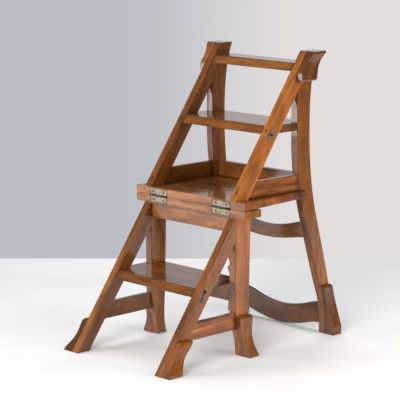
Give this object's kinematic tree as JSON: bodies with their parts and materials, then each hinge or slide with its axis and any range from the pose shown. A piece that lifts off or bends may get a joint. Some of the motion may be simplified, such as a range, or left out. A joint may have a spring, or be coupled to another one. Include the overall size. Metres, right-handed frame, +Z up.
{
  "type": "step ladder",
  "caption": "Wooden chair-steps standing unfolded as a step ladder: a hinged upper frame swings over the front to make a chair.",
  "frame": {"origin": "middle of the footprint, on the floor", "axes": "+X across the width, +Y the way a person climbs, +Z up"},
  "size_m": [0.47, 0.7488, 0.9],
  "materials": {
    "mahogany": "satin",
    "dark_plug": "satin",
    "hinge_metal": "satin",
    "latch_metal": "satin"
  },
  "bodies": {
    "base_frame": {"front_apron": "mahogany", "left_front_leg": "mahogany", "left_front_leg_pad": "mahogany", "left_hinge_pin": "hinge_metal", "left_latch_pivot": "latch_metal", "left_latch_plate": "latch_metal", "left_latch_screw": "latch_metal", "left_lower_hinge_leaf": "hinge_metal", "left_lower_hinge_screws": "hinge_metal", "left_lower_rail": "mahogany", "left_lower_stringer": "mahogany", "left_stringer_pad": "mahogany", "lower_board": "mahogany", "lower_plugs": "dark_plug", "lower_tread": "mahogany", "right_front_leg": "mahogany", "right_front_leg_pad": "mahogany", "right_hinge_pin": "hinge_metal", "right_latch_pivot": "latch_metal", "right_latch_plate": "latch_metal", "right_latch_screw": "latch_metal", "right_lower_hinge_leaf": "hinge_metal", "right_lower_hinge_screws": "hinge_metal", "right_lower_rail": "mahogany", "right_lower_stringer": "mahogany", "right_stringer_pad": "mahogany", "tread_rail": "mahogany"},
    "folding_frame": {"left_keeper_plate": "latch_metal", "left_keeper_stud": "latch_metal", "left_rear_post": "mahogany", "left_rear_post_pad": "mahogany", "left_seat_rail": "mahogany", "left_top_pad": "mahogany", "left_upper_hinge_leaf": "hinge_metal", "left_upper_hinge_screws": "hinge_metal", "left_upper_stringer": "mahogany", "lower_slat": "mahogany", "middle_tread": "mahogany", "rear_seat_rail": "mahogany", "right_keeper_plate": "latch_metal", "right_keeper_stud": "latch_metal", "right_rear_post": "mahogany", "right_rear_post_pad": "mahogany", "right_seat_rail": "mahogany", "right_top_pad": "mahogany", "right_upper_hinge_leaf": "hinge_metal", "right_upper_hinge_screws": "hinge_metal", "right_upper_stringer": "mahogany", "top_tread": "mahogany", "upper_board": "mahogany", "upper_plugs": "dark_plug", "upper_slat": "mahogany"},
    "left_hook": {"left_latch_hook": "latch_metal"},
    "right_hook": {"right_latch_hook": "latch_metal"}
  },
  "joints": [
    {"name": "fold", "type": "hinge", "parent": "base_frame", "child": "folding_frame", "pos_m": [0, -0.06856, 0.45], "axis": [1, 0, 0], "range_deg": [0, 180]},
    {"name": "left_latch", "type": "hinge", "parent": "base_frame", "child": "left_hook", "pos_m": [-0.2, -0.19586, 0.22407], "axis": [-1, 0, 0], "range_deg": [0, 90]},
    {"name": "right_latch", "type": "hinge", "parent": "base_frame", "child": "right_hook", "pos_m": [0.2, -0.19586, 0.22407], "axis": [-1, 0, 0], "range_deg": [0, 90]}
  ]
}
